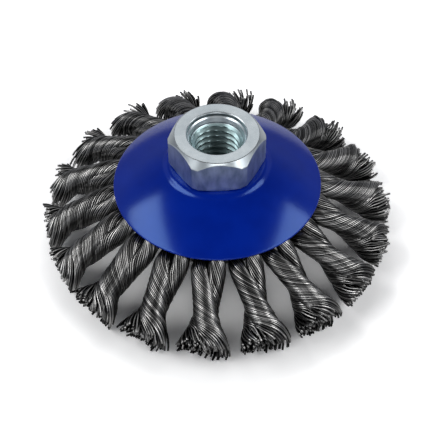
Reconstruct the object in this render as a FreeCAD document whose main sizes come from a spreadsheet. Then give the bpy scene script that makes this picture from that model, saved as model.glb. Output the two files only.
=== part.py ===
"""Bevel wire brush for an angle grinder, in millimetres.

The brush stands on the tips of its knots at height zero. The spindle's axis is +Z and the hexagon nut is
on top. Under the nut come a pressed cup, a dished plate that carries the knots, and a back plate. The nut's
shank runs through all three and is swaged over below them. Each knot is a bundle of wires that passes
through a hole in the knot plate, and outside the plate its two legs are twisted together and flare.
"""
import FreeCAD, Part
import math
import os
import Sketcher

# Driving dimensions: lengths in mm and angles in degrees, all as plain numbers in the sheet
SIZES = {
    # Nut, from the mouth of its thread down to the swaged end of its shank
    "hex_across_flats": 24.0,
    "hex_height": 10.3,
    "corner_cut": 0.5,
    "top_face_inset": 0.4,
    "top_chamfer_drop": 2.1,
    "foot_face_inset": 0.2,
    "foot_chamfer_drop": 0.85,
    "mouth_diameter": 16.2,
    "mouth_depth": 1.5,
    "lead_in_diameter": 14.2,
    "lead_in_depth": 1.4,
    "thread_bore": 11.9,
    "bore_chamfer": 0.8,
    "shank_wall": 3.15,
    "swage_depth": 1.8,
    # Cup
    "cup_sheet": 1.2,
    "rim_radius": 29.25,
    "rim_tilt": 35.0,
    "foot_tilt": 19.0,
    "boss_margin": 0.25,
    "boss_step": 1.3,
    "boss_drop": 1.0,
    "boss_blend": 0.8,
    "rim_round": 0.35,
    # Plates under the cup
    "knot_plate_sheet": 2.0,
    "knot_plate_margin": 0.2,
    "knot_plate_edge": 3.5,
    "knot_plate_wall_tilt": 55.0,
    "back_plate_sheet": 1.5,
    "back_plate_lip": 1.4,
    "back_plate_wall_tilt": 70.0,
    "bend_radius": 0.6,
    # Ring of knots
    "knot_count": 18,
    "knot_tilt": 28.8,
    "knot_hole_radius": 19.5,
    "knot_hole_diameter": 4.6,
    "tip_reach": 48.3,
    "first_knot_angle": 2.1,
    # One knot, measured across its axis
    "leg_height": 2.3,
    "leg_overlap": 1.0,
    "leg_tuck": 0.3,
    "rim_leg_radius": 2.3,
    "exit_radius": 3.4,
    "root_radius": 4.7,
    "waist_radius": 4.15,
    "belly_radius": 5.0,
    "flare_radius": 7.2,
    "tip_radius": 7.5,
    "waist_place": 0.38,
    "belly_place": 0.70,
    "flare_place": 0.92,
    "rim_turn": 90.0,
    "twist_turn": 290.0,
    "rim_pace": 0.35,
    # Share of the knot's radius that one strand's own radius takes
    "exit_share": 0.30,
    "waist_share": 0.75,
    "belly_share": 0.74,
    "flare_share": 0.60,
    "tip_share": 0.58,
    # Tuft that ends a strand: its face leans less than the knot, and has a hollow middle and notched corners
    "face_tilt": 15.0,
    "tuft_hollow": 1.2,
    "tuft_notch": 0.9,
    "tuft_notch_share": 0.94,
    "strand_sides": 10,
    "strand_stations": 13,
    "plug_sides": 8,
    # Clearances
    "fit_clearance": 0.05,
    "under_clearance": 0.15,
    "wire_clearance": 0.15,
}


def sized(words):
    """Put the sheet's name before each of its aliases in an expression written with bare aliases."""
    for alias in SIZES:
        words = words.replace("{" + alias + "}", "Sizes." + alias)
    return words


# Radii, each an expression in the sheet's aliases. The nut's corners set the cup's centre, and that sets
# the plates' centres.
CORNER_RADIUS = sized("({hex_across_flats} / sqrt(3) - {corner_cut})")
SHANK_RADIUS = sized("({thread_bore} / 2 + {shank_wall})")
BOSS_RADIUS = sized(f"({CORNER_RADIUS} + {{boss_margin}})")
FOOT_RADIUS = sized(f"({BOSS_RADIUS} + {{boss_step}})")
KNOT_PLATE_CENTRE = sized(f"({BOSS_RADIUS} - {{cup_sheet}} / 2 - {{knot_plate_margin}})")
KNOT_PLATE_RADIUS = sized("({knot_hole_radius} + {knot_plate_edge})")
BACK_PLATE_CENTRE = sized(
    f"({KNOT_PLATE_CENTRE} - {{knot_plate_sheet}} * tan({{knot_plate_wall_tilt}} / 2) - {{fit_clearance}})")
BACK_PLATE_RADIUS = sized(f"({KNOT_PLATE_RADIUS} + {{back_plate_lip}})")
SWAGE_RADIUS = sized(
    f"({BACK_PLATE_CENTRE} - {{back_plate_sheet}} * tan({{back_plate_wall_tilt}} / 2) - {{wire_clearance}})")

# Heights. The knots' axes form a cone that tilts down outwards.
TIP_DROP = sized("({tip_radius} * ((1 - {tip_share}) * abs(cos({twist_turn}))"
                 " + {tip_share} * cos(180 / {strand_sides})))")
TIP_HEIGHT = sized(f"({TIP_DROP} * cos({{face_tilt}}) / cos({{knot_tilt}} - {{face_tilt}}))")
RIM_AXIS_HEIGHT = sized(f"({TIP_HEIGHT} + ({{tip_reach}} - {{rim_radius}}) * tan({{knot_tilt}}))")
INNER_RIM_RADIUS = sized("({rim_radius} - {cup_sheet} * sin({rim_tilt}))")
RIM_HEIGHT = sized(
    f"({RIM_AXIS_HEIGHT} + ({{rim_radius}} - {INNER_RIM_RADIUS}) * tan({{knot_tilt}})"
    " + ({rim_leg_radius} + {wire_clearance}) / cos({knot_tilt}) + {cup_sheet} * cos({rim_tilt}))"
)
DOME_RADIUS = sized(f"(({{rim_radius}} - {FOOT_RADIUS}) / (sin({{rim_tilt}}) - sin({{foot_tilt}})))")
FOOT_HEIGHT = sized(f"({RIM_HEIGHT} + {DOME_RADIUS} * (cos({{foot_tilt}}) - cos({{rim_tilt}})))")
SEAT_HEIGHT = sized(f"({FOOT_HEIGHT} + {{boss_drop}})")
TOP_HEIGHT = sized(f"({SEAT_HEIGHT} + {{hex_height}})")
KNOT_PLATE_TOP = sized(f"({SEAT_HEIGHT} - {{cup_sheet}})")
BACK_PLATE_TOP = sized(f"({KNOT_PLATE_TOP} - {{knot_plate_sheet}})")
SWAGE_TOP = sized(f"({BACK_PLATE_TOP} - {{back_plate_sheet}})")
NUT_END = sized(f"({SWAGE_TOP} - {{swage_depth}})")

# Offsets from the knots' axis, along its normal: the knot plate lies between the two legs, and the upper leg
# lies against the cup
LEG_TOP = sized("({rim_leg_radius} - {leg_tuck})")
FLANGE_TOP = sized(f"({LEG_TOP} - {{leg_height}} - {{fit_clearance}})")
FLANGE_BOTTOM = sized(f"({FLANGE_TOP} - {{knot_plate_sheet}})")
LEG_BOTTOM = sized(f"({FLANGE_BOTTOM} - {{under_clearance}} - {{leg_height}})")
BACK_FLANGE_TOP = sized(f"({LEG_BOTTOM} - {{wire_clearance}})")
BACK_FLANGE_BOTTOM = sized(f"({BACK_FLANGE_TOP} - {{back_plate_sheet}})")

# Radius of a corner that lies on the spindle's axis
ON_AXIS = "0"


def on_cone(radius, offset):
    """Height at a radius of the cone that lies an offset above the knots' axes."""
    return sized(f"({RIM_AXIS_HEIGHT} + ({{rim_radius}} - {radius}) * tan({{knot_tilt}})"
                 f" + ({offset}) / cos({{knot_tilt}}))")


doc = FreeCAD.newDocument("BevelWireBrush")
sheet = doc.addObject("Spreadsheet::Sheet", "Sizes")
for row, (alias, number) in enumerate(SIZES.items(), start=1):
    sheet.set(f"A{row}", alias)
    sheet.set(f"B{row}", str(number))
    sheet.setAlias(f"B{row}", alias)
doc.recompute()


def value(expression):
    """Number that an expression gives, or a size's own number where a bare alias is given."""
    if expression in SIZES:
        expression = "Sizes." + expression
    result = sheet.evalExpression(expression)
    return float(getattr(result, "Value", result))


def new_body(name):
    body = doc.addObject("PartDesign::Body", name)
    body.Label = name
    return body


def origin_feature(body, role):
    return next(feature for feature in body.Origin.OriginFeatures if feature.Role == role)


def section(body, name, corners, arcs=None):
    """Closed sketch in the XZ plane through corners given as (radius, height) expressions.

    arcs gives, for the side that starts at a corner's index, the expressions of the arc's radius and centre.
    """
    arcs = arcs or {}
    sketch = body.newObject("Sketcher::SketchObject", name)
    sketch.AttachmentSupport = [(origin_feature(body, "XZ_Plane"), "")]
    sketch.MapMode = "FlatFace"
    places = [FreeCAD.Vector(value(sized(r)), value(sized(z)), 0) for r, z in corners]
    sides = []
    for index, start in enumerate(places):
        end = places[(index + 1) % len(places)]
        if index in arcs:
            radius, centre_r, centre_z = (value(sized(words)) for words in arcs[index])
            circle = Part.Circle(FreeCAD.Vector(centre_r, centre_z, 0), FreeCAD.Vector(0, 0, 1), radius)
            ends = sorted(math.atan2(point.y - centre_z, point.x - centre_r) for point in (start, end))
            sides.append(sketch.addGeometry(Part.ArcOfCircle(circle, *ends), False))
        else:
            sides.append(sketch.addGeometry(Part.LineSegment(start, end), False))
    # An arc runs counter-clockwise in a sketch, so the end that meets a corner is read from the geometry
    for index, start in enumerate(places):
        before, after = sides[index - 1], sides[index]
        sketch.addConstraint(Sketcher.Constraint(
            "Coincident", before, end_at(sketch, before, start), after, end_at(sketch, after, start)))
        for kind, words in (("DistanceX", corners[index][0]), ("DistanceY", corners[index][1])):
            if words == ON_AXIS:
                sketch.addConstraint(
                    Sketcher.Constraint("PointOnObject", after, end_at(sketch, after, start), -2))
                continue
            number = value(sized(words))
            constraint = sketch.addConstraint(
                Sketcher.Constraint(kind, -1, 1, after, end_at(sketch, after, start), number))
            sketch.setExpression(f"Constraints[{constraint}]", sized(words))
    for index, (radius, _, _) in arcs.items():
        constraint = sketch.addConstraint(Sketcher.Constraint("Radius", sides[index], value(sized(radius))))
        sketch.setExpression(f"Constraints[{constraint}]", sized(radius))
    return sketch


def end_at(sketch, side, place):
    """Which end of a side, 1 for its start or 2 for its end, lies at a place."""
    geometry = sketch.Geometry[side]
    return 1 if geometry.StartPoint.distanceToPoint(place) < geometry.EndPoint.distanceToPoint(place) else 2


def turned(body, kind, name, sketch):
    """Revolution or groove of a sketch about the spindle's axis."""
    feature = body.newObject("PartDesign::" + kind, name)
    feature.Profile = sketch
    feature.ReferenceAxis = (origin_feature(body, "Z_Axis"), [""])
    feature.Angle = 360
    return feature


def circles_at(shape, places):
    """Names of the circular edges about the spindle's axis that pass through (radius, height) places."""
    names = []
    for number, edge in enumerate(shape.Edges, start=1):
        if not isinstance(edge.Curve, Part.Circle):
            continue
        box = edge.BoundBox
        for radius, height in places:
            if abs(edge.Curve.Radius - radius) < 0.01 and abs(box.ZMax - height) < 0.01:
                names.append(f"Edge{number}")
    return names


def rounded(body, base, name, places, radius):
    """Fillet of the circles at the (radius, height) expressions given."""
    doc.recompute()
    fillet = body.newObject("PartDesign::Fillet", name)
    spots = [(value(sized(r)), value(sized(z))) for r, z in places]
    edges = circles_at(base.Shape, spots)
    if len(edges) != len(spots):
        raise RuntimeError(f"{name}: {len(edges)} of {len(spots)} edges found")
    fillet.Base = (base, edges)
    fillet.setExpression("Radius", sized(radius))
    return fillet


def make_nut():
    body = new_body("spindle_nut")
    hexagon = body.newObject("Sketcher::SketchObject", "HexagonSketch")
    hexagon.AttachmentSupport = [(origin_feature(body, "XY_Plane"), "")]
    hexagon.MapMode = "FlatFace"
    hexagon.setExpression("AttachmentOffset.Base.z", SEAT_HEIGHT)
    across = value("hex_across_flats")
    corners = [FreeCAD.Vector(math.cos(a), math.sin(a), 0) * (across / math.sqrt(3))
               for a in (math.radians(60 * k) for k in range(6))]
    for k in range(6):
        hexagon.addGeometry(Part.LineSegment(corners[k], corners[(k + 1) % 6]), False)
    for k in range(6):
        hexagon.addConstraint(Sketcher.Constraint("Coincident", k, 2, (k + 1) % 6, 1))
    circle = hexagon.addGeometry(
        Part.Circle(FreeCAD.Vector(), FreeCAD.Vector(0, 0, 1), across / math.sqrt(3)), True)
    hexagon.addConstraint(Sketcher.Constraint("Coincident", circle, 3, -1, 1))
    for k in range(6):
        hexagon.addConstraint(Sketcher.Constraint("PointOnObject", k, 1, circle))
    for k in range(1, 6):
        hexagon.addConstraint(Sketcher.Constraint("Equal", 0, k))
    hexagon.addConstraint(Sketcher.Constraint("PointOnObject", 0, 1, -1))
    width = hexagon.addConstraint(Sketcher.Constraint("Radius", circle, across / math.sqrt(3)))
    hexagon.setExpression(f"Constraints[{width}]", sized("{hex_across_flats} / sqrt(3)"))
    block = body.newObject("PartDesign::Pad", "Hexagon")
    block.Profile = hexagon
    block.setExpression("Length", sized("{hex_height}"))

    # The corners are turned off, and so are the edges of the hexagon's top and of its foot
    far = "{hex_across_flats}"
    outside = section(body, "TurnedCornersSketch", [
        ("{hex_across_flats} / 2 - {top_face_inset}", TOP_HEIGHT),
        (CORNER_RADIUS, TOP_HEIGHT + " - {top_chamfer_drop}"),
        (CORNER_RADIUS, SEAT_HEIGHT + " + {foot_chamfer_drop}"),
        ("{hex_across_flats} / 2 - {foot_face_inset}", SEAT_HEIGHT),
        (far, SEAT_HEIGHT),
        (far, TOP_HEIGHT),
    ])
    turned(body, "Groove", "TurnedCorners", outside)

    # Shank through the cup and plates, swaged over the back plate
    shank = section(body, "ShankSketch", [
        (ON_AXIS, SEAT_HEIGHT),
        (SHANK_RADIUS, SEAT_HEIGHT),
        (SHANK_RADIUS, SWAGE_TOP),
        (SWAGE_RADIUS, SWAGE_TOP),
        (SHANK_RADIUS, NUT_END),
        (ON_AXIS, NUT_END),
    ])
    turned(body, "Revolution", "Shank", shank)

    bore = "{thread_bore} / 2"
    lead_in = TOP_HEIGHT + " - {mouth_depth} - {lead_in_depth}"
    thread = section(body, "BoreSketch", [
        ("{mouth_diameter} / 2", TOP_HEIGHT),
        ("{mouth_diameter} / 2", TOP_HEIGHT + " - {mouth_depth}"),
        ("{lead_in_diameter} / 2", lead_in),
        (bore, lead_in + " - ({lead_in_diameter} - {thread_bore}) / 2"),
        (bore, NUT_END + " + {bore_chamfer}"),
        (bore + " + {bore_chamfer}", NUT_END),
        (ON_AXIS, NUT_END),
        (ON_AXIS, TOP_HEIGHT),
    ])
    turned(body, "Groove", "Bore", thread)
    return body


def make_cup():
    body = new_body("cup")
    hole = SHANK_RADIUS + " + {fit_clearance}"
    centre_r = sized(f"({FOOT_RADIUS} - {DOME_RADIUS} * sin({{foot_tilt}}))")
    centre_z = sized(f"({FOOT_HEIGHT} - {DOME_RADIUS} * cos({{foot_tilt}}))")
    inner_foot_radius = FOOT_RADIUS + " - {cup_sheet} * sin({foot_tilt})"
    inner_foot_height = FOOT_HEIGHT + " - {cup_sheet} * cos({foot_tilt})"
    skin = section(body, "CupSketch", [
        (hole, SEAT_HEIGHT),
        (BOSS_RADIUS, SEAT_HEIGHT),
        (FOOT_RADIUS, FOOT_HEIGHT),
        ("{rim_radius}", RIM_HEIGHT),
        (INNER_RIM_RADIUS, RIM_HEIGHT + " - {cup_sheet} * cos({rim_tilt})"),
        (inner_foot_radius, inner_foot_height),
        (BOSS_RADIUS + " - {cup_sheet} / 2", KNOT_PLATE_TOP),
        (hole, KNOT_PLATE_TOP),
    ], arcs={
        2: (DOME_RADIUS, centre_r, centre_z),
        4: (DOME_RADIUS + " - {cup_sheet}", centre_r, centre_z),
    })
    shell = turned(body, "Revolution", "Cup", skin)
    boss = rounded(body, shell, "BossRound", [
        (BOSS_RADIUS, SEAT_HEIGHT),
        (FOOT_RADIUS, FOOT_HEIGHT),
    ], "{boss_blend}")
    rounded(body, boss, "RimRound", [
        ("{rim_radius}", RIM_HEIGHT),
        (INNER_RIM_RADIUS, RIM_HEIGHT + " - {cup_sheet} * cos({rim_tilt})"),
    ], "{rim_round}")
    return body


def wall_foot(centre, top, offset, wall):
    """Radius at which a wall that drops from the centre's edge meets the cone at an offset."""
    return sized(f"({centre} + ({top} - {on_cone(centre, offset)}) / (tan({wall}) - tan({{knot_tilt}})))")


def dished_plate(name, top, sheet, centre, wall, edge, upper, lower):
    """Pressed disc: a flat centre, a wall that drops at an angle, and a flange between two cones.

    upper and lower are the flange's offsets from the knots' axes. The sheet keeps its thickness all over.
    """
    body = new_body(name)
    hole = SHANK_RADIUS + " + {fit_clearance}"
    bottom = f"({top} - {sheet})"
    under_centre = f"({centre} - {sheet} * tan({wall} / 2))"
    under_edge = f"({edge} - {sheet} * sin({{knot_tilt}}))"
    foot = wall_foot(centre, top, upper, wall)
    under_foot = wall_foot(under_centre, bottom, lower, wall)
    profile = section(body, name + "_section", [
        (hole, top),
        (centre, top),
        (foot, on_cone(foot, upper)),
        (edge, on_cone(edge, upper)),
        (under_edge, on_cone(under_edge, lower)),
        (under_foot, on_cone(under_foot, lower)),
        (under_centre, bottom),
        (hole, bottom),
    ])
    disc = turned(body, "Revolution", name + "_disc", profile)
    rounded(body, disc, name + "_bends", [
        (centre, top),
        (foot, on_cone(foot, upper)),
    ], "{bend_radius}")
    return body


def make_knot_plate():
    body = dished_plate("knot_plate", KNOT_PLATE_TOP, "{knot_plate_sheet}", KNOT_PLATE_CENTRE,
                        "{knot_plate_wall_tilt}", KNOT_PLATE_RADIUS, FLANGE_TOP, FLANGE_BOTTOM)
    # Each hole stands square to the flange, under its own knot, and its drill runs past both faces
    doc.recompute()
    drill = body.newObject("PartDesign::SubtractiveCylinder", "KnotHole")
    drill.setExpression("Radius", sized("{knot_hole_diameter} / 2"))
    drill.setExpression("Height", sized("{knot_plate_sheet} * 3"))
    below = FreeCAD.Placement(
        FreeCAD.Vector(0, 0, value(FLANGE_BOTTOM) - value("knot_plate_sheet")), FreeCAD.Rotation())
    drill.Placement = knot_placement(0).multiply(below)
    ring = body.newObject("PartDesign::PolarPattern", "KnotHoles")
    ring.Originals = [drill]
    ring.Axis = (origin_feature(body, "Z_Axis"), [""])
    ring.Angle = 360
    ring.setExpression("Occurrences", sized("{knot_count}"))
    body.Tip = ring
    return body


def make_back_plate():
    return dished_plate("back_plate", BACK_PLATE_TOP, "{back_plate_sheet}", BACK_PLATE_CENTRE,
                        "{back_plate_wall_tilt}", BACK_PLATE_RADIUS, BACK_FLANGE_TOP, BACK_FLANGE_BOTTOM)


def knot_placement(index):
    """Where a knot stands: +X runs out along its axis from its hole, and +Z is the axis's upper normal."""
    azimuth = value("first_knot_angle") + 360.0 * index / value("knot_count")
    turn = FreeCAD.Rotation(FreeCAD.Vector(0, 0, 1), azimuth)
    droop = FreeCAD.Rotation(FreeCAD.Vector(0, 1, 0), value("knot_tilt"))
    foot = turn.multVec(FreeCAD.Vector(value("knot_hole_radius"), 0,
                                       value(on_cone("{knot_hole_radius}", "0"))))
    return FreeCAD.Placement(foot, turn.multiply(droop))


def ring_of(sides, reach, x, y, z, lean=0.0):
    """Regular polygon across the knot's axis, with a flat side up, as points at a reach from its middle.

    lean moves each point back along the axis by a share of its height.
    """
    angles = [2 * math.pi * (k + 0.5) / sides for k in range(sides)]
    points = [FreeCAD.Vector(x, y + reach * math.sin(a), z + reach * math.cos(a)) for a in angles]
    for point in points:
        point.x -= lean * point.z
    return points


def flat_face(*corners):
    return Part.Face(Part.makePolygon(list(corners) + [corners[0]]))


def sides_between(near, far, split):
    """Faces between two rings of points: flat quads, or two triangles each where the rings lean apart."""
    faces = []
    for k in range(len(near)):
        following = (k + 1) % len(near)
        if split:
            faces.append(flat_face(near[k], near[following], far[following]))
            faces.append(flat_face(near[k], far[following], far[k]))
        else:
            faces.append(flat_face(near[k], near[following], far[following], far[k]))
    return faces


def eased(places, heights, x):
    """Smooth rise and fall through heights at places along the knot."""
    for (x0, h0), (x1, h1) in zip(zip(places, heights), zip(places[1:], heights[1:])):
        if x <= x1:
            part = max(0.0, (x - x0) / (x1 - x0))
            return h0 + (h1 - h0) * (1 - math.cos(math.pi * part)) / 2
    return heights[-1]


def knot_shape():
    """One knot along +X, from its hole in the knot plate to its flared tip.

    Its two legs pass over and under the plate. Past the plate's edge each becomes a strand, and the strands
    are laid together left-handed. Their sections are polygons, and they end side by side, each in a tuft.
    """
    slope = math.cos(math.radians(value("knot_tilt")))
    hole = value("knot_hole_radius")
    exit_x = value("knot_plate_edge") / slope
    rim_x = (value("rim_radius") - hole) / slope
    tip_x = (value("tip_reach") - hole) / slope
    waist_x = rim_x + (tip_x - rim_x) * value("waist_place")
    belly_x = rim_x + (tip_x - rim_x) * value("belly_place")
    flare_x = rim_x + (tip_x - rim_x) * value("flare_place")
    places = [exit_x, rim_x, waist_x, belly_x, flare_x, tip_x]
    radii = [value(part + "_radius") for part in ("exit", "root", "waist", "belly", "flare", "tip")]
    shares = [value("exit_share"), value("rim_leg_radius") / value("root_radius"), value("waist_share"),
              value("belly_share"), value("flare_share"), value("tip_share")]
    plate_middle = (value(FLANGE_TOP) + value(FLANGE_BOTTOM)) / 2
    start_x = exit_x - value("leg_overlap")
    full_lean = math.tan(math.radians(value("knot_tilt") - value("face_tilt")))

    def turning(x0, x1):
        """What the strands' turn between two places is in proportion to. Its pace grows towards the tip."""
        steps = 60
        step = (x1 - x0) / steps
        middles = [x0 + (k + 0.5) * step for k in range(steps)]
        paces = [eased([rim_x, tip_x], [value("rim_pace"), 1.0], x) for x in middles]
        return sum(step * pace / eased(places, radii, x) for x, pace in zip(middles, paces))

    def twist(x):
        """Angle the strands have turned by at a place. Under the cup's rim they lie side by side."""
        if x < rim_x:
            return value("rim_turn") * turning(start_x, x) / turning(start_x, rim_x)
        rest = value("twist_turn") - value("rim_turn")
        return value("rim_turn") + rest * turning(rim_x, x) / turning(rim_x, tip_x)

    def strand(first_angle):
        stations = int(value("strand_stations"))
        rings, leans = [], []
        for station in range(stations):
            x = start_x + (tip_x - start_x) * station / (stations - 1)
            radius = eased(places, radii, x)
            own = radius * eased(places, shares, x)
            out = radius - own
            lift = eased([exit_x, rim_x], [plate_middle, 0.0], x)
            angle = first_angle + math.radians(twist(x))
            leans.append(full_lean * eased([belly_x, tip_x], [0.0, 1.0], x))
            rings.append(ring_of(int(value("strand_sides")), own, x,
                                 out * math.sin(angle), lift + out * math.cos(angle), leans[-1]))
        # The tuft: every other corner is pulled back and in, and the middle is hollow
        crown = rings[-1]
        middle = sum(crown, FreeCAD.Vector()) / len(crown)
        for k in range(1, len(crown), 2):
            crown[k] = middle + (crown[k] - middle) * value("tuft_notch_share")
            crown[k].x -= value("tuft_notch")
        middle.x -= value("tuft_hollow")
        faces = [flat_face(*rings[0])]
        for near, far, lean in zip(rings, rings[1:], leans[1:]):
            faces += sides_between(near, far, lean > 0)
        faces += [flat_face(crown[k - 1], crown[k], middle) for k in range(len(crown))]
        solid = Part.Solid(Part.Shell(faces))
        if solid.Volume < 0:
            solid.reverse()
        return solid

    # The legs are as wide as their inner ends' distance from the spindle's axis leaves for them
    hole_radius = value("knot_hole_diameter") / 2
    inner_end = hole - hole_radius * slope + value(LEG_BOTTOM) * math.sin(math.radians(value("knot_tilt")))
    leg_width = 2 * (inner_end * math.tan(math.pi / value("knot_count")) - value("wire_clearance"))
    legs = [
        Part.makeBox(exit_x + hole_radius, leg_width, value("leg_height"),
                     FreeCAD.Vector(-hole_radius, -leg_width / 2, bottom))
        for bottom in (value(LEG_TOP) - value("leg_height"), value(LEG_BOTTOM))
    ]
    # Where the wires pass through the hole, from the middle of one leg to the middle of the other
    plug_bottom = value(LEG_BOTTOM) + value("leg_height") / 2
    plug_ring = ring_of(int(value("plug_sides")), hole_radius - value("wire_clearance"), 0, 0, 0)
    plug_face = Part.Face(Part.makePolygon(
        [FreeCAD.Vector(point.y, point.z, plug_bottom) for point in plug_ring + plug_ring[:1]]))
    plug = plug_face.extrude(FreeCAD.Vector(0, 0, value(LEG_TOP) - value("leg_height") / 2 - plug_bottom))
    return strand(0.0).multiFuse([strand(math.pi), plug] + legs)


def make_knots():
    shape = knot_shape()
    knots = []
    for index in range(int(value("knot_count"))):
        name = f"knot_{index + 1:02d}"
        knot = doc.addObject("Part::Feature", name)
        knot.Label = name
        knot.Shape = shape.copy()
        knot.Placement = knot_placement(index)
        knots.append(knot)
    return knots


parts = [make_nut(), make_cup(), make_knot_plate(), make_back_plate()] + make_knots()
doc.recompute()

for item in doc.Objects:
    if "Invalid" in item.State or "Error" in item.State:
        raise RuntimeError(f"{item.Label} failed: {item.State}")
for part in parts:
    if part.Shape.isNull() or not part.Shape.isValid():
        raise RuntimeError(f"{part.Label} has no valid shape")

os.makedirs("parts", exist_ok=True)
for part in parts:
    part.Shape.exportStep(f"parts/{part.Label}.step")
    box = part.Shape.BoundBox
    print(f"{part.Label}: {len(part.Shape.Solids)} solid, {part.Shape.Volume:.0f} mm3, "
          f"z {box.ZMin:.2f} to {box.ZMax:.2f}, reach {max(box.XMax, box.YMax):.2f}")
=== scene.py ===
"""Finished look of the bevel wire brush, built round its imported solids. All lengths are in metres.

The cup and the nut get new skins with their bends, thread and worn edges. Each knot gets its separate wires,
which follow the same route as the knot's solid. The two plates keep their solids and get a material.
"""
import math

import bpy
import numpy as np
from mathutils import Matrix, Vector


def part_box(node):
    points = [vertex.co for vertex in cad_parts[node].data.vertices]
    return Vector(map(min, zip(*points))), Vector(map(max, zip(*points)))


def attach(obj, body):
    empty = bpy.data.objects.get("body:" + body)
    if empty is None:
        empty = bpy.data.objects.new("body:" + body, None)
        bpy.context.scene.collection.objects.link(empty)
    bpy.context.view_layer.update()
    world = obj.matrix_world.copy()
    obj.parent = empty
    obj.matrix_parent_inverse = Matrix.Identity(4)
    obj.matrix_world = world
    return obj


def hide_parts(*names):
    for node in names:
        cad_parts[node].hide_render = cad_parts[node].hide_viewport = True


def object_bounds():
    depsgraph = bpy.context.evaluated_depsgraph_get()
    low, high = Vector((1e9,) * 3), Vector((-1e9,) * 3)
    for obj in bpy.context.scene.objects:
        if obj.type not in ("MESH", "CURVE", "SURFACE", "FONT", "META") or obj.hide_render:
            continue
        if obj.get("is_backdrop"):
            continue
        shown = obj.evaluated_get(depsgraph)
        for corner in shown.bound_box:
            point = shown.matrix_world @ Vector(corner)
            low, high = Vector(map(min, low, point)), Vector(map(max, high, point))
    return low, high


MM = 0.001
TURN = 2 * math.pi

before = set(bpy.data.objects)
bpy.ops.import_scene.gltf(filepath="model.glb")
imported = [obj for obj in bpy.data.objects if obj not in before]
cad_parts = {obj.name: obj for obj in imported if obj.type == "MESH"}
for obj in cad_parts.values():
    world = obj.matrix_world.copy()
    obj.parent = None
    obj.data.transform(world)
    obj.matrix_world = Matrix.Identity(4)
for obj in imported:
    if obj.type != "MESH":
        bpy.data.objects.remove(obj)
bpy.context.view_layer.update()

# Heights read from the solids
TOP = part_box("spindle_nut")[1].z
NUT_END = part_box("spindle_nut")[0].z
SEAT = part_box("cup")[1].z

# Nut, as in the part's source
FLAT_RADIUS = 12.0 * MM
CORNER_RADIUS = 13.356 * MM
TOP_FACE_RADIUS = 11.6 * MM
TOP_CHAMFER_DROP = 2.1 * MM
FOOT_FACE_RADIUS = 11.8 * MM
FOOT_CHAMFER_DROP = 0.85 * MM
MOUTH_RADIUS = 8.1 * MM
MOUTH_DEPTH = 1.5 * MM
LEAD_IN_RADIUS = 7.1 * MM
LEAD_IN_DEPTH = 1.4 * MM
SHANK_RADIUS = 9.1 * MM
SWAGE_RADIUS = 10.5 * MM
SWAGE_DEPTH = 1.8 * MM
SWAGE_BEND_IN = 0.3 * MM
SWAGE_BEND_DOWN = 0.9 * MM
BORE_CHAMFER = 0.8 * MM

# Thread. CREST_END and ROOT_START are shares of the way from a crest's middle to a root's
THREAD_CREST = 5.95 * MM
THREAD_ROOT = 7.0 * MM
THREAD_PITCH = 2.0 * MM
CREST_END = 0.25
ROOT_START = 0.875

# Worn edges of the nut, and the rounding of its mouth
EDGE = 0.12 * MM
LIP = 0.5 * MM

# Cup
CUP_SHEET = 1.2 * MM
RIM_RADIUS = 29.25 * MM
RIM_TILT = math.radians(35.0)
FOOT_TILT = math.radians(19.0)
BOSS_RADIUS = 13.606 * MM
BOSS_STEP = 1.3 * MM
BOSS_DROP = 1.0 * MM
BOSS_BLEND = 2.4 * MM
FOOT_BLEND = 2.8 * MM
RIM_ROUND = 0.35 * MM

# Divisions of the skins of cup and nut, and the angles past which their edges stay sharp
CUP_AROUND = 288
DOME_STEPS = 24
BEND_STEPS = 6
HALF_FLAT_STEPS = 12
CORNER_STEPS = 8
THREAD_STEPS = 14
LIP_STEPS = 4
CUP_SHARP = math.radians(35)
NUT_SHARP = math.radians(15)
NEARLY_STRAIGHT = 0.01

# Ring of knots, and one knot measured from its hole in the knot plate
KNOT_COUNT = 18
KNOT_TILT = math.radians(28.8)
FIRST_KNOT = math.radians(2.1)
HOLE_RADIUS = 19.5 * MM
TIP_REACH = 48.3 * MM
PLATE_EDGE = 3.5 * MM
PLATE_MIDDLE = -1.35 * MM
EXIT_RADIUS = 3.4 * MM
ROOT_RADIUS = 4.7 * MM
WAIST_RADIUS = 4.15 * MM
BELLY_RADIUS = 5.0 * MM
FLARE_RADIUS = 7.2 * MM
TIP_RADIUS = 7.5 * MM
EXIT_SHARE = 0.30
ROOT_SHARE = 0.49
WAIST_SHARE = 0.75
BELLY_SHARE = 0.74
FLARE_SHARE = 0.60
TIP_SHARE = 0.58
WAIST_PLACE = 0.38
BELLY_PLACE = 0.70
FLARE_PLACE = 0.92
RIM_TURN = math.radians(90.0)
TWIST_TURN = math.radians(290.0)
RIM_PACE = 0.35
OWN_TURN = math.radians(190.0)
OWN_TURN_MOST = 1.1
FAN_POWER = 0.8
FAN_MOST = 1.2
FACE_TILT = math.radians(15.0)
STRAND_SIDES = 10
FINE_STEPS = 400
LEG_OVERLAP = 1.0 * MM
LEG_HALF_WIDTH = 2.5 * MM

# Wires, and how far each strays from its even place
SEED = 7
WIRE_RADIUS = 0.31 * MM
INNER_BEFORE_BELLY = 2 * MM
RAGGED_SHORT = 1.2 * MM
RAGGED_LONG = 0.6 * MM
PHASE_STRAY = 0.10
SHARE_LOW = -0.03
SHARE_HIGH = 0.01
WANDER_OUT = 0.008
WANDER_ACROSS = 0.012
WANDER_WAVES = (4, 9)
WANDER_STARTS = (0, 6)
FREE_POWER = 1.5
END_STRAY = 0.36 * MM
WILD_WIRES = 0.10
WILD_STRAY = 2.2
# Share of the wires' painted shade lifted at their free ends
FREE_LIGHT = 0.68

# Wire ends at the floor
PRESS_FROM = -0.5 * MM
PRESS_SHARE = 0.4

# Dark core of a strand, painted shade deep between its wires, in shares of the strand's radius
CORE_STATIONS = 40
CORE_SIDES = 12
CORE_SHARE = 0.78
CORE_END_SHARE = 0.4
CORE_PAST_BELLY = 1 * MM

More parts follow.
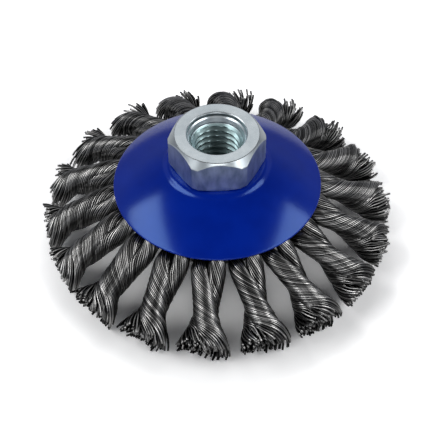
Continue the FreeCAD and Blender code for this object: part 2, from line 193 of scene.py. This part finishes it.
# Looks
WIRE_ROUGHNESS = 0.29
PAINT_ROUGHNESS = 0.17
PAINT_SPECULAR = 0.55
PAINT_TINT = (0.30, 0.54, 1.0, 1)
# Thread colour: darker teal, painted shade in the bore
THREAD_COLOUR = (0.27, 0.37, 0.38, 1)
THREAD_ROUGHNESS = (0.36, 0.36, 0.36, 1)
WHITE = (1, 1, 1, 1)

# Camera, found from the photograph's circles
IMAGE_SIDE = 430
FOCAL_PIXELS = 1217.71
SENSOR = 36.0
CAMERA_BACK = 0.23741
CAMERA_ASIDE = -0.00072
CAMERA_UP = 0.22795
CAMERA_PITCH = math.radians(47.69)
CAMERA_ROLL = math.radians(0.56)
CAMERA_TURN = math.radians(-2.85)
CLIP_NEAR = 0.01
CLIP_FAR = 20

# Floor, with its colour for the camera alone: shaded near the brush, white farther out
FLOOR_HALF = 3.0
FLOOR_COLOUR = (0.80, 0.80, 0.80, 1)
FLOOR_NEAR = 1.22
FLOOR_WHITE = 1.75
SHADE_CENTRE = (2 * MM, -13 * MM, 0)
SHADE_FROM = 42 * MM
SHADE_TO = 57 * MM

LAMP_TARGET = (0, 0, 0.02)


def mesh_object(name, vertices, loops, sizes, smooth=True):
    """Mesh object from arrays: vertices (n, 3), the corners of its faces in a row, and the faces' sizes."""
    mesh = bpy.data.meshes.new(name)
    mesh.vertices.add(len(vertices))
    mesh.vertices.foreach_set("co", np.asarray(vertices, np.float32).ravel())
    mesh.loops.add(len(loops))
    mesh.loops.foreach_set("vertex_index", np.asarray(loops, np.int32))
    mesh.polygons.add(len(sizes))
    mesh.polygons.foreach_set("loop_start", np.concatenate(([0], np.cumsum(sizes)[:-1])).astype(np.int32))
    mesh.polygons.foreach_set("use_smooth", np.broadcast_to(smooth, len(sizes)).copy())
    mesh.update(calc_edges=True)
    mesh.validate()
    made = bpy.data.objects.new(name, mesh)
    bpy.context.scene.collection.objects.link(made)
    return made


def ring_quads(stations, around, closed):
    """Faces over rows of points, as indices (faces, 4). closed joins the last row to the first."""
    row = np.arange(stations if closed else stations - 1)[:, None] * around
    next_row = (row + around) % (stations * around)
    side = np.arange(around)[None, :]
    next_side = (side + 1) % around
    return np.stack([row + side, row + next_side, next_row + next_side, next_row + side], -1).reshape(-1, 4)


def rings_object(name, rings):
    """Skin over rings of points, an array (rings, points, 3), with the last ring joined to the first."""
    quads = ring_quads(rings.shape[0], rings.shape[1], True)
    return mesh_object(name, rings.reshape(-1, 3), quads.ravel(), np.full(len(quads), 4))


def set_attribute(made, name, values):
    """Puts a number on each vertex, for a material to read."""
    layer = made.data.attributes.new(name, "FLOAT", "POINT")
    layer.data.foreach_set("value", values.astype(np.float32))


def circle(count):
    """Even angles round a whole turn."""
    return np.arange(count) * TURN / count


def turned(radii, heights, angles):
    """Rings round the spindle's axis, from arrays (rings, angles) or (rings, 1)."""
    return np.stack(np.broadcast_arrays(radii * np.cos(angles), radii * np.sin(angles), heights), -1)


def rounded(points, radii):
    """Closed outline with its corners rounded: each radius belongs to the point of the same index."""
    outline = []
    for index, (point, radius) in enumerate(zip(points, radii)):
        corner = Vector(point)
        before = (Vector(points[index - 1]) - corner).normalized()
        after = (Vector(points[(index + 1) % len(points)]) - corner).normalized()
        half = before.angle(after) / 2
        if radius == 0 or half > math.pi / 2 - NEARLY_STRAIGHT:
            outline.append(corner)
            continue
        centre = corner + (before + after).normalized() * (radius / math.sin(half))
        start = corner + before * (radius / math.tan(half)) - centre
        end = corner + after * (radius / math.tan(half)) - centre
        for step in range(BEND_STEPS + 1):
            part = step / BEND_STEPS
            outline.append(centre + (start * (1 - part) + end * part).normalized() * radius)
    return outline


def make_cup():
    """Pressed cup: flat seat, small step round it, domed skirt and a rounded rim."""
    foot_radius = BOSS_RADIUS + BOSS_STEP
    foot_height = SEAT - BOSS_DROP
    dome_radius = (RIM_RADIUS - foot_radius) / (math.sin(RIM_TILT) - math.sin(FOOT_TILT))
    centre = Vector((foot_radius - dome_radius * math.sin(FOOT_TILT),
                     foot_height - dome_radius * math.cos(FOOT_TILT)))
    tilts = [FOOT_TILT + (RIM_TILT - FOOT_TILT) * k / DOME_STEPS for k in range(DOME_STEPS + 1)]
    outer = [centre + Vector((math.sin(a), math.cos(a))) * dome_radius for a in tilts]
    inner = [centre + Vector((math.sin(a), math.cos(a))) * (dome_radius - CUP_SHEET) for a in tilts]
    points = [(SHANK_RADIUS, SEAT), (BOSS_RADIUS, SEAT)] + outer + inner[::-1]
    points += [(BOSS_RADIUS - CUP_SHEET / 2, SEAT - CUP_SHEET), (SHANK_RADIUS, SEAT - CUP_SHEET)]
    radii = [0.0] * len(points)
    radii[1] = BOSS_BLEND
    radii[2] = FOOT_BLEND
    rim = len(outer) + 1
    radii[rim] = RIM_ROUND
    radii[rim + 1] = RIM_ROUND
    outline = np.array([tuple(point) for point in rounded(points, radii)])
    rings = turned(outline[:, :1], outline[:, 1:], circle(CUP_AROUND))
    cup = rings_object("cup_skin", rings[::-1])
    cup.data.set_sharp_from_angle(angle=CUP_SHARP)
    return cup


def hexagon_angles():
    """Angles round the nut, with a column on each line where a flat meets its turned corner."""
    edge = math.acos(FLAT_RADIUS / CORNER_RADIUS)
    middle = math.radians(30)
    angles = []
    for k in range(6):
        start = math.radians(60 * k) + middle
        angles += [start + edge * (j / HALF_FLAT_STEPS) for j in range(-HALF_FLAT_STEPS, HALF_FLAT_STEPS)]
        angles += [start + edge + 2 * (middle - edge) * (j / CORNER_STEPS) for j in range(CORNER_STEPS)]
    return np.array(angles)


def thread_radius(height, angles):
    """Radius of a right-hand internal thread at a height and angles."""
    phase = (height / THREAD_PITCH - angles / TURN) % 1.0
    away = np.abs(phase - 0.5) * 2
    depth = np.clip((away - CREST_END) / (ROOT_START - CREST_END), 0, 1)
    return THREAD_CREST + (THREAD_ROOT - THREAD_CREST) * depth


def make_nut():
    """Hexagon nut with turned corners, a chamfered top, a real thread and its shank."""
    angles = hexagon_angles()
    sector = (angles % math.radians(60)) - math.radians(30)
    flat = np.minimum(FLAT_RADIUS / np.cos(sector), CORNER_RADIUS)
    top_slope = TOP_CHAMFER_DROP / (CORNER_RADIUS - TOP_FACE_RADIUS)
    foot_slope = FOOT_CHAMFER_DROP / (CORNER_RADIUS - FOOT_FACE_RADIUS)
    rows = []

    def row(radius, height):
        rows.append(np.broadcast_arrays(radius, height, angles)[:2])

    def top_cone(radius):
        return TOP - (radius - TOP_FACE_RADIUS) * top_slope

    def foot_cone(radius):
        return SEAT + (radius - FOOT_FACE_RADIUS) * foot_slope

    # Outside, from the mouth's edge outwards and down
    row(TOP_FACE_RADIUS - EDGE, TOP)
    row(TOP_FACE_RADIUS + EDGE / 2, top_cone(TOP_FACE_RADIUS + EDGE / 2))
    row(flat - EDGE / 2, top_cone(flat - EDGE / 2))
    row(flat, top_cone(flat) - EDGE)
    row(flat, foot_cone(flat) + EDGE)
    row(flat - EDGE / 2, foot_cone(flat - EDGE / 2))
    row(FOOT_FACE_RADIUS, SEAT)
    row(SHANK_RADIUS, SEAT)
    swage_top = NUT_END + SWAGE_DEPTH
    row(SHANK_RADIUS, swage_top)
    row(SWAGE_RADIUS, swage_top)
    row(SWAGE_RADIUS - SWAGE_BEND_IN, swage_top - SWAGE_BEND_DOWN)
    row(SHANK_RADIUS, NUT_END)
    row(THREAD_CREST + BORE_CHAMFER, NUT_END)
    # Thread, held back by the chamfer below and the lead-in cone above
    lead_in = TOP - MOUTH_DEPTH - LEAD_IN_DEPTH
    thread_start = len(rows)
    steps = int((lead_in - NUT_END) / THREAD_PITCH * THREAD_STEPS)
    for k in range(1, steps):
        height = NUT_END + (lead_in - NUT_END) * k / steps
        open_below = THREAD_CREST + BORE_CHAMFER - (height - NUT_END)
        open_above = LEAD_IN_RADIUS - (lead_in - height)
        row(np.maximum(thread_radius(height, angles), max(open_below, open_above)), height)
    thread_end = len(rows)
    row(LEAD_IN_RADIUS, lead_in)
    row(LEAD_IN_RADIUS, lead_in + 3 * EDGE)
    row(MOUTH_RADIUS - 4 * EDGE, TOP - MOUTH_DEPTH)
    row(MOUTH_RADIUS - EDGE, TOP - MOUTH_DEPTH + 3 * EDGE)
    # The mouth's lip is rounded over
    for k in range(LIP_STEPS + 1):
        turn = math.radians(90 * k / LIP_STEPS)
        row(MOUTH_RADIUS + LIP * (1 - math.cos(turn)), TOP - LIP * (1 - math.sin(turn)))
    inside = np.zeros(len(rows))
    inside[thread_start:thread_end] = 1.0
    radii, heights = np.swapaxes(np.array(rows), 0, 1)
    nut = rings_object("nut_skin", turned(radii, heights, angles)[::-1])
    nut.data.set_sharp_from_angle(angle=NUT_SHARP)
    set_attribute(nut, "inside", np.repeat(inside[::-1], len(angles)))
    return nut


def eased(places, values, x):
    """Smooth rise and fall through values at places along a knot, for an array of x."""
    x = np.asarray(x, float)
    result = np.full_like(x, values[-1])
    for index in range(len(places) - 1, 0, -1):
        before, after = places[index - 1], places[index]
        part = np.clip((x - before) / (after - before), 0, 1)
        rise = values[index - 1] + (values[index] - values[index - 1]) * (1 - np.cos(math.pi * part)) / 2
        result = np.where(x <= after, rise, result)
    return result


# Places along a knot, and the knot's measures there
SLOPE = math.cos(KNOT_TILT)
EXIT_X = PLATE_EDGE / SLOPE
RIM_X = (RIM_RADIUS - HOLE_RADIUS) / SLOPE
TIP_X = (TIP_REACH - HOLE_RADIUS) / SLOPE
WAIST_X = RIM_X + (TIP_X - RIM_X) * WAIST_PLACE
BELLY_X = RIM_X + (TIP_X - RIM_X) * BELLY_PLACE
FLARE_X = RIM_X + (TIP_X - RIM_X) * FLARE_PLACE
START_X = EXIT_X - LEG_OVERLAP
INNER_START_X = BELLY_X - INNER_BEFORE_BELLY
PLACES = [EXIT_X, RIM_X, WAIST_X, BELLY_X, FLARE_X, TIP_X]
RADII = [EXIT_RADIUS, ROOT_RADIUS, WAIST_RADIUS, BELLY_RADIUS, FLARE_RADIUS, TIP_RADIUS]
SHARES = [EXIT_SHARE, ROOT_SHARE, WAIST_SHARE, BELLY_SHARE, FLARE_SHARE, TIP_SHARE]
BELLY_INDEX = PLACES.index(BELLY_X)

# Turn of the strands along a knot: its pace grows towards the tip and is slower where the knot is thicker
FINE_X = np.linspace(START_X, TIP_X + 2 * RAGGED_LONG, FINE_STEPS)
FINE_MIDDLE = (FINE_X[1:] + FINE_X[:-1]) / 2
FINE_PACE = eased([RIM_X, TIP_X], [RIM_PACE, 1.0], FINE_MIDDLE) / eased(PLACES, RADII, FINE_MIDDLE)
FINE_SUM = np.concatenate(([0.0], np.cumsum(np.diff(FINE_X) * FINE_PACE)))
RIM_SUM, TIP_SUM = np.interp([RIM_X, TIP_X], FINE_X, FINE_SUM)
FINE_TURN = np.where(
    FINE_X < RIM_X, RIM_TURN * FINE_SUM / RIM_SUM,
    RIM_TURN + (TWIST_TURN - RIM_TURN) * (FINE_SUM - RIM_SUM) / (TIP_SUM - RIM_SUM))
BELLY_TURN = np.interp(BELLY_X, FINE_X, FINE_TURN)
OWN_SHARE = np.clip((FINE_TURN - RIM_TURN) / (BELLY_TURN - RIM_TURN), 0, OWN_TURN_MOST)
FULL_LEAN = math.tan(KNOT_TILT - FACE_TILT)

# Rings of wires in a strand: start, stations, share of the strand's radius, wires and their sides
WIRE_RINGS = (
    (START_X, 40, 0.91, 25, 5),
    (INNER_START_X, 12, 0.70, 20, 4),
    (INNER_START_X, 10, 0.46, 14, 4),
    (INNER_START_X, 10, 0.20, 7, 4))


def fanned(values, x):
    """Course of a knot's measure. Past the belly it opens evenly, as the free wires are straight."""
    part = np.clip((x - BELLY_X) / (TIP_X - BELLY_X), 0, FAN_MOST) ** FAN_POWER
    belly = values[BELLY_INDEX]
    return np.where(x < BELLY_X, eased(PLACES, values, x), belly + (values[-1] - belly) * part)


def strand_point(strand, x, u, v):
    """Point of a strand at x. u points away from the bundle's middle and v across, both in strand radii."""
    radius = fanned(RADII, x)
    own = radius * fanned(SHARES, x)
    out = radius - own
    wide = eased([EXIT_X, RIM_X], [LEG_HALF_WIDTH, ROOT_RADIUS * ROOT_SHARE], x)
    own_across = np.where(x < RIM_X, np.maximum(own, wide), own)
    lift = eased([EXIT_X, RIM_X], [PLATE_MIDDLE, 0.0], x)
    angle = np.interp(x, FINE_X, FINE_TURN) + strand * math.pi
    away = out + own * u
    across = own_across * v
    side = away * np.sin(angle) + across * np.cos(angle)
    height = lift + away * np.cos(angle) - across * np.sin(angle)
    # Past the belly the strand's sections lean, so that its end stands nearly upright
    lean = FULL_LEAN * eased([BELLY_X, TIP_X], [0.0, 1.0], x)
    return np.stack([np.broadcast_to(x, away.shape) - lean * height, side, height], -1)


def wire_lines(strand, start, stations, share, count, draw):
    """Middle lines of a ring of wires and of their strand, arrays (wires, stations, 3).

    The last array tells how free each wire is at each station, from 0 to 1.
    """
    phase = (np.arange(count) + draw.uniform(-PHASE_STRAY, PHASE_STRAY, count)) / count * TURN
    reach = share + draw.uniform(SHARE_LOW, SHARE_HIGH, count)
    ends = TIP_X + draw.uniform(-RAGGED_SHORT, RAGGED_LONG, count)
    part = np.linspace(0, 1, stations)[None, :]
    x = start + (ends[:, None] - start) * part
    # Each wire wanders a little in its bundle, and more where its end is free
    starts = draw.uniform(*WANDER_STARTS, (count, 1))
    wander = WANDER_OUT * np.sin(part * draw.uniform(*WANDER_WAVES, (count, 1)) + starts)
    wander_across = WANDER_ACROSS * np.sin(part * draw.uniform(*WANDER_WAVES, (count, 1)) + 2 * starts)
    free = np.clip((x - BELLY_X) / (TIP_X - BELLY_X), 0, 1) ** FREE_POWER
    # The wires of a strand turn about its middle too, in the same sense as the strands
    phase = phase[:, None] + OWN_TURN * np.interp(x, FINE_X, OWN_SHARE)
    u = (reach[:, None] + wander) * np.cos(phase) - wander_across * np.sin(phase)
    v = (reach[:, None] + wander) * np.sin(phase) + wander_across * np.cos(phase)
    lines = strand_point(strand, x, u, v)
    middles = strand_point(strand, x, 0 * u, 0 * v)
    stray = draw.normal(0, 1, (count, 2)) * END_STRAY
    stray[draw.random(count) < WILD_WIRES] *= WILD_STRAY
    lines[:, :, 1:] += stray[:, None, :] * free[:, :, None]
    return lines, middles, free


def tubes(lines, middles, free, sides):
    """Vertices, side faces and cut ends of round wires along lines.

    The last array tells how far each vertex faces out of its strand, from -1 to 1, and so sets its painted
    shade.
    Free ends get less painted shade, as they are lit all round.
    """
    count, stations, _ = lines.shape
    along = np.gradient(lines, axis=1)
    along /= np.linalg.norm(along, axis=2, keepdims=True)
    side = np.cross(along, lines - middles)
    side /= np.linalg.norm(side, axis=2, keepdims=True)
    outward = np.cross(side, along)
    turn = math.pi / 2 + circle(sides)
    ring = (side[:, :, None, :] * np.cos(turn)[None, None, :, None]
            + outward[:, :, None, :] * np.sin(turn)[None, None, :, None])
    vertices = (lines[:, :, None, :] + ring * WIRE_RADIUS).reshape(-1, 3)
    # Painted shade falls on each wire's inner side and is lifted towards its free end
    bare = FREE_LIGHT * free[:, :, None]
    exposure = np.sin(turn)[None, None, :] * (1 - bare) + bare
    first = np.arange(count)[:, None] * stations * sides
    quads = (first[:, :, None] + ring_quads(stations, sides, False)[None, :, :]).reshape(-1, 4)
    caps = first + (stations - 1) * sides + np.arange(sides)[None, :]
    return vertices, quads, caps, exposure.ravel()


def core(strand):
    """Vertices, side faces and end of a strand's dark core: painted shade that closes the view between its
    wires.
    """
    x = np.linspace(START_X, BELLY_X + CORE_PAST_BELLY, CORE_STATIONS)
    share = np.where(x > BELLY_X, CORE_END_SHARE, CORE_SHARE)
    points = [strand_point(strand, x, share * math.cos(a), share * math.sin(a)) for a in circle(CORE_SIDES)]
    end = (CORE_STATIONS - 1) * CORE_SIDES + np.arange(CORE_SIDES)[None, :]
    return np.stack(points, 1).reshape(-1, 3), ring_quads(CORE_STATIONS, CORE_SIDES, False), end


def make_knot(index, draw):
    """One knot's wires and the dark cores of painted shade inside its strands, in the row frame."""
    rings = []
    for strand in (0, 1):
        for start, stations, share, count, sides in WIRE_RINGS:
            lines, middles, free = wire_lines(strand, start, stations, share, count, draw)
            rings.append(tubes(lines, middles, free, sides))
    vertices, loops, sizes, smooth, tones, exposures = [], [], [], [], [], []
    base = 0

    def add(points, quads, caps, tone, exposure, smooth_caps):
        nonlocal base
        vertices.append(points)
        tones.append(tone)
        exposures.append(exposure)
        loops.extend([(quads + base).ravel(), (caps + base).ravel()])
        sizes.extend([np.full(len(quads), 4), np.full(len(caps), caps.shape[1])])
        smooth.extend([np.full(len(quads), True), np.full(len(caps), smooth_caps)])
        base += len(points)

    for points, quads, caps, exposure in rings:
        tone = np.repeat(draw.random(len(caps)), len(points) // len(caps))
        add(points, quads, caps, tone, exposure, False)
    for strand in (0, 1):
        points, quads, end = core(strand)
        # The cores are painted shade: tone 0 and exposure -1 make them nearly black
        add(points, quads, end, np.zeros(len(points)), np.full(len(points), -1.0), True)
    name = f"knot_{index + 1:02d}"
    knot = mesh_object(name + "_wires", np.concatenate(vertices), np.concatenate(loops),
                       np.concatenate(sizes), np.concatenate(smooth))
    set_attribute(knot, "tone", np.concatenate(tones))
    set_attribute(knot, "exposure", np.concatenate(exposures))
    azimuth = FIRST_KNOT + TURN * index / KNOT_COUNT
    hole = Matrix.Translation((HOLE_RADIUS, 0, axis_height(HOLE_RADIUS)))
    knot.data.transform(Matrix.Rotation(azimuth, 4, "Z") @ hole @ Matrix.Rotation(KNOT_TILT, 4, "Y"))
    press(knot.data)
    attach(knot, "root")
    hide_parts(name)
    return knot


def press(mesh):
    """Bends back the wire ends that would go into the floor."""
    points = np.empty(3 * len(mesh.vertices))
    mesh.vertices.foreach_get("co", points)
    heights = points[2::3]
    points[2::3] = np.where(heights < PRESS_FROM, PRESS_FROM + (heights - PRESS_FROM) * PRESS_SHARE, heights)
    mesh.vertices.foreach_set("co", points)


def axis_height(radius):
    """Height of the knots' axes at a radius: their tips stand on the floor."""
    strand_low = TIP_SHARE * math.cos(math.pi / STRAND_SIDES)
    drop = TIP_RADIUS * ((1 - TIP_SHARE) * abs(math.cos(TWIST_TURN)) + strand_low)
    tip_height = drop * math.cos(FACE_TILT) / math.cos(KNOT_TILT - FACE_TILT)
    return tip_height + (TIP_REACH - radius) * math.tan(KNOT_TILT)


def new_material(name):
    """New material with its nodes, links and shader."""
    material = bpy.data.materials.new(name)
    material.use_nodes = True
    tree = material.node_tree
    return material, tree.nodes, tree.links, tree.nodes["Principled BSDF"]


def grey(level):
    """Colour with equal parts."""
    return (level, level, level)


def ramp(nodes, links, factor, stops):
    """Colour ramp driven by a factor, through (place, colour) stops."""
    node = nodes.new("ShaderNodeValToRGB")
    elements = node.color_ramp.elements
    for index in (0, -1):
        elements[index].position = stops[index][0]
        elements[index].color = (*stops[index][1], 1)
    for place, colour in stops[1:-1]:
        elements.new(place).color = (*colour, 1)
    links.new(factor, node.inputs["Fac"])
    return node.outputs["Color"]


def blend(nodes, links, factor, first, second, kind="MIX"):
    """Mix of two colours by a factor. Each of the three is a socket or a plain value."""
    node = nodes.new("ShaderNodeMix")
    node.data_type = "RGBA"
    node.blend_type = kind
    for name, value in (("Factor", factor), ("A", first), ("B", second)):
        if isinstance(value, bpy.types.NodeSocket):
            links.new(value, node.inputs[name])
        else:
            node.inputs[name].default_value = value
    return node.outputs["Result"]


def attribute(nodes, name):
    """Number that a vertex of the mesh carries."""
    node = nodes.new("ShaderNodeAttribute")
    node.attribute_name = name
    return node.outputs["Fac"]


def upward(nodes, links, vector):
    """Z part of a vector."""
    split = nodes.new("ShaderNodeSeparateXYZ")
    links.new(vector, split.inputs["Vector"])
    return split.outputs["Z"]


def camera_ray(nodes):
    """1 for what the camera sees itself, 0 for what lights or mirrors in the object."""
    return nodes.new("ShaderNodeLightPath").outputs["Is Camera Ray"]


def noise(nodes, links, scale, detail, stretch=None):
    """Noise in the row frame, with its scale in features a metre, stretched along an axis if asked."""
    source = nodes.new("ShaderNodeTexCoord").outputs["Object"]
    if stretch:
        mapping = nodes.new("ShaderNodeMapping")
        mapping.inputs["Scale"].default_value = stretch
        links.new(source, mapping.inputs["Vector"])
        source = mapping.outputs["Vector"]
    texture = nodes.new("ShaderNodeTexNoise")
    texture.inputs["Scale"].default_value = scale
    texture.inputs["Detail"].default_value = detail
    links.new(source, texture.inputs["Vector"])
    return texture.outputs["Fac"]


def bump(nodes, links, shader, height, strength, distance):
    """Fine relief of a surface, of a depth in metres."""
    node = nodes.new("ShaderNodeBump")
    node.inputs["Strength"].default_value = strength
    node.inputs["Distance"].default_value = distance
    links.new(height, node.inputs["Height"])
    links.new(node.outputs["Normal"], shader.inputs["Normal"])


def wire_material():
    """Bright drawn steel wire: each wire has its own tone, and painted shade darkens it where wires touch.
    """
    material, nodes, links, shader = new_material("knot_wire")
    shader.inputs["Metallic"].default_value = 1.0
    shader.inputs["Roughness"].default_value = WIRE_ROUGHNESS
    colour = ramp(nodes, links, attribute(nodes, "tone"), [
        (0.0, grey(0.09)), (0.4, (0.29, 0.29, 0.285)), (1.0, (0.70, 0.69, 0.68))])
    # Painted shade: the side of each wire that faces into its strand is darkened
    shade = ramp(nodes, links, attribute(nodes, "exposure"), [
        (0.0, grey(0.01)), (0.6, grey(0.04)), (0.92, grey(0.85)), (1.0, grey(1.0))])
    links.new(blend(nodes, links, 1.0, colour, shade, "MULTIPLY"), shader.inputs["Base Color"])
    return material


def cup_material():
    """Deep blue gloss enamel with faint mottling and a faint orange peel."""
    material, nodes, links, shader = new_material("cup_paint")
    shader.inputs["Roughness"].default_value = PAINT_ROUGHNESS
    shader.inputs["Specular IOR Level"].default_value = PAINT_SPECULAR
    shader.inputs["Specular Tint"].default_value = PAINT_TINT
    mottle = noise(nodes, links, scale=140.0, detail=2.0)
    colour = ramp(nodes, links, mottle, [(0.3, (0.0004, 0.0125, 0.225)), (0.7, (0.0007, 0.0165, 0.27))])
    links.new(colour, shader.inputs["Base Color"])
    peel = noise(nodes, links, scale=1500.0, detail=2.0)
    bump(nodes, links, shader, peel, strength=0.12, distance=0.05 * MM)
    return material


def zinc_material():
    """Clear zinc: blotched and finely turned, rougher and streaked on the flats, duller in the thread. The
    flats' darker blue cast is painted reflection of the blue cup; the thread's darker teal colour is painted
    shade in the bore.
    """
    material, nodes, links, shader = new_material("nut_zinc")
    shader.inputs["Metallic"].default_value = 1.0
    blotch = noise(nodes, links, scale=200.0, detail=3.0)
    turned_zinc = ramp(nodes, links, blotch, [(0.3, (0.45, 0.50, 0.53)), (0.7, (0.57, 0.62, 0.645))])
    streaks = noise(nodes, links, scale=420.0, detail=4.0, stretch=(1.0, 1.0, 0.45))
    # Drawn streaks on the flats, with a darker blue cast that is painted reflection of the blue cup
    drawn_zinc = ramp(nodes, links, streaks, [(0.34, (0.27, 0.34, 0.43)), (0.66, (0.50, 0.59, 0.70))])
    facing = upward(nodes, links, nodes.new("ShaderNodeNewGeometry").outputs["Normal"])
    on_flats = ramp(nodes, links, facing, [(0.0, grey(1.0)), (0.2, grey(0.0))])
    rough = ramp(nodes, links, facing, [(0.0, grey(0.33)), (0.2, grey(0.31)), (1.0, grey(0.27))])
    outside = blend(nodes, links, on_flats, turned_zinc, drawn_zinc)
    inside = attribute(nodes, "inside")
    # Inside the thread the colour is darker teal, painted shade in the bore
    links.new(blend(nodes, links, inside, outside, THREAD_COLOUR), shader.inputs["Base Color"])
    links.new(blend(nodes, links, inside, rough, THREAD_ROUGHNESS), shader.inputs["Roughness"])
    lines = noise(nodes, links, scale=300.0, detail=3.0, stretch=(1.0, 1.0, 14.0))
    bump(nodes, links, shader, lines, strength=0.05, distance=0.03 * MM)
    return material


def plate_material():
    """Plain pressed sheet with a dull, lightly scuffed surface."""
    material, nodes, links, shader = new_material("plate_steel")
    shader.inputs["Metallic"].default_value = 1.0
    scuffs = noise(nodes, links, scale=900.0, detail=5.0)
    colour = ramp(nodes, links, scuffs, [(0.3, (0.36, 0.36, 0.37)), (0.7, (0.44, 0.44, 0.45))])
    links.new(colour, shader.inputs["Base Color"])
    rough = ramp(nodes, links, scuffs, [(0.3, grey(0.45)), (0.7, grey(0.38))])
    links.new(rough, shader.inputs["Roughness"])
    grain = noise(nodes, links, scale=2500.0, detail=2.0)
    bump(nodes, links, shader, grain, strength=0.1, distance=0.03 * MM)
    return material


def dress(made, material):
    """Gives an object one material."""
    made.data.materials.clear()
    made.data.materials.append(material)


def make_floor(height):
    """Plain floor that keeps the brush's shadow. The camera sees it paler than the brush does, with a
    painted shadow near the brush.
    """
    side = FLOOR_HALF
    corners = [(-side, -side, height), (side, -side, height), (side, side, height), (-side, side, height)]
    floor = mesh_object("floor", corners, [0, 1, 2, 3], [4], smooth=False)
    material, nodes, links, shader = new_material("floor_white")
    nodes.remove(shader)
    distance = nodes.new("ShaderNodeVectorMath")
    distance.operation = "DISTANCE"
    distance.inputs[1].default_value = SHADE_CENTRE
    links.new(nodes.new("ShaderNodeTexCoord").outputs["Object"], distance.inputs[0])
    # Painted shadow: the camera's floor colour is darker near the brush and white farther out
    pale = nodes.new("ShaderNodeMapRange")
    pale.inputs["From Min"].default_value = SHADE_FROM
    pale.inputs["From Max"].default_value = SHADE_TO
    pale.inputs["To Min"].default_value = FLOOR_NEAR
    pale.inputs["To Max"].default_value = FLOOR_WHITE
    links.new(distance.outputs["Value"], pale.inputs["Value"])
    plain = nodes.new("ShaderNodeBsdfDiffuse")
    seen = blend(nodes, links, camera_ray(nodes), FLOOR_COLOUR, pale.outputs["Result"])
    links.new(seen, plain.inputs["Color"])
    links.new(plain.outputs["BSDF"], nodes["Material Output"].inputs["Surface"])
    floor.data.materials.append(material)
    floor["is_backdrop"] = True
    return floor


def area_light(name, place, size_x, size_y, watts):
    """Soft box that faces the brush."""
    data = bpy.data.lights.new(name, "AREA")
    data.shape = "RECTANGLE"
    data.size = size_x
    data.size_y = size_y
    data.energy = watts
    lamp = bpy.data.objects.new(name, data)
    lamp.location = place
    lamp.rotation_euler = (Vector(LAMP_TARGET) - place).to_track_quat("-Z", "Y").to_euler()
    bpy.context.scene.collection.objects.link(lamp)


def make_world():
    """Plain room, palest a third of the way up and dark overhead. The camera sees it white."""
    world = bpy.data.worlds.new("room")
    bpy.context.scene.world = world
    world.use_nodes = True
    nodes, links = world.node_tree.nodes, world.node_tree.links
    height = upward(nodes, links, nodes.new("ShaderNodeTexCoord").outputs["Generated"])
    shade = ramp(nodes, links, height, [
        (0.0, (0.13, 0.14, 0.17)), (0.16, (0.22, 0.23, 0.26)), (0.34, (0.37, 0.38, 0.41)),
        (0.48, (0.26, 0.27, 0.29)), (0.65, (0.13, 0.13, 0.14)), (0.9, grey(0.04)), (1.0, grey(0.02))])
    background = nodes["Background"]
    links.new(blend(nodes, links, camera_ray(nodes), shade, WHITE), background.inputs["Color"])
    background.inputs["Strength"].default_value = 1.0


def make_lights():
    """Soft boxes on all four sides, where the enamel and the nut mirror them."""
    for name, azimuth, elevation, distance, wide, tall, watts in (
            ("left_box", 186, 46, 0.80, 0.72, 0.27, 3.3),
            ("right_box", -18, 41, 0.80, 0.76, 0.27, 3.0),
            ("back_box", 88, 46, 0.90, 0.60, 0.50, 0.9),
            ("front_box", -92, 33, 0.80, 0.46, 0.26, 1.0)):
        flat = math.radians(azimuth)
        rise = math.radians(elevation)
        place = Vector((math.cos(flat) * math.cos(rise), math.sin(flat) * math.cos(rise), math.sin(rise)))
        area_light(name, place * distance, wide, tall, watts)


def make_camera():
    """Camera of the photograph."""
    data = bpy.data.cameras.new("camera")
    data.sensor_width = SENSOR
    data.lens = SENSOR * FOCAL_PIXELS / IMAGE_SIDE
    data.clip_start = CLIP_NEAR
    data.clip_end = CLIP_FAR
    camera = bpy.data.objects.new("camera", data)
    place = Matrix.Translation((CAMERA_ASIDE, -CAMERA_BACK, CAMERA_UP + TOP))
    tilt = Matrix.Rotation(math.pi / 2 - CAMERA_PITCH, 4, "X") @ Matrix.Rotation(-CAMERA_ROLL, 4, "Z")
    camera.matrix_world = Matrix.Rotation(CAMERA_TURN, 4, "Z") @ place @ tilt
    bpy.context.scene.collection.objects.link(camera)
    bpy.context.scene.camera = camera


def make_brush():
    """All pieces of the brush with their materials."""
    wire = wire_material()
    draw = np.random.default_rng(SEED)
    for index in range(KNOT_COUNT):
        dress(make_knot(index, draw), wire)
    for make, node, slot, material in ((make_cup, "cup", "cup_paint", cup_material()),
                                       (make_nut, "spindle_nut", "nut_zinc", zinc_material())):
        piece = make()
        dress(piece, material)
        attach(piece, "root")
        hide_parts(node)
    plate = plate_material()
    for node in ("knot_plate", "back_plate"):
        dress(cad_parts[node], plate)


make_brush()
make_floor(min(0.0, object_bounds()[0].z))
make_world()
make_lights()
make_camera()
bpy.context.scene.view_settings.view_transform = "Standard"
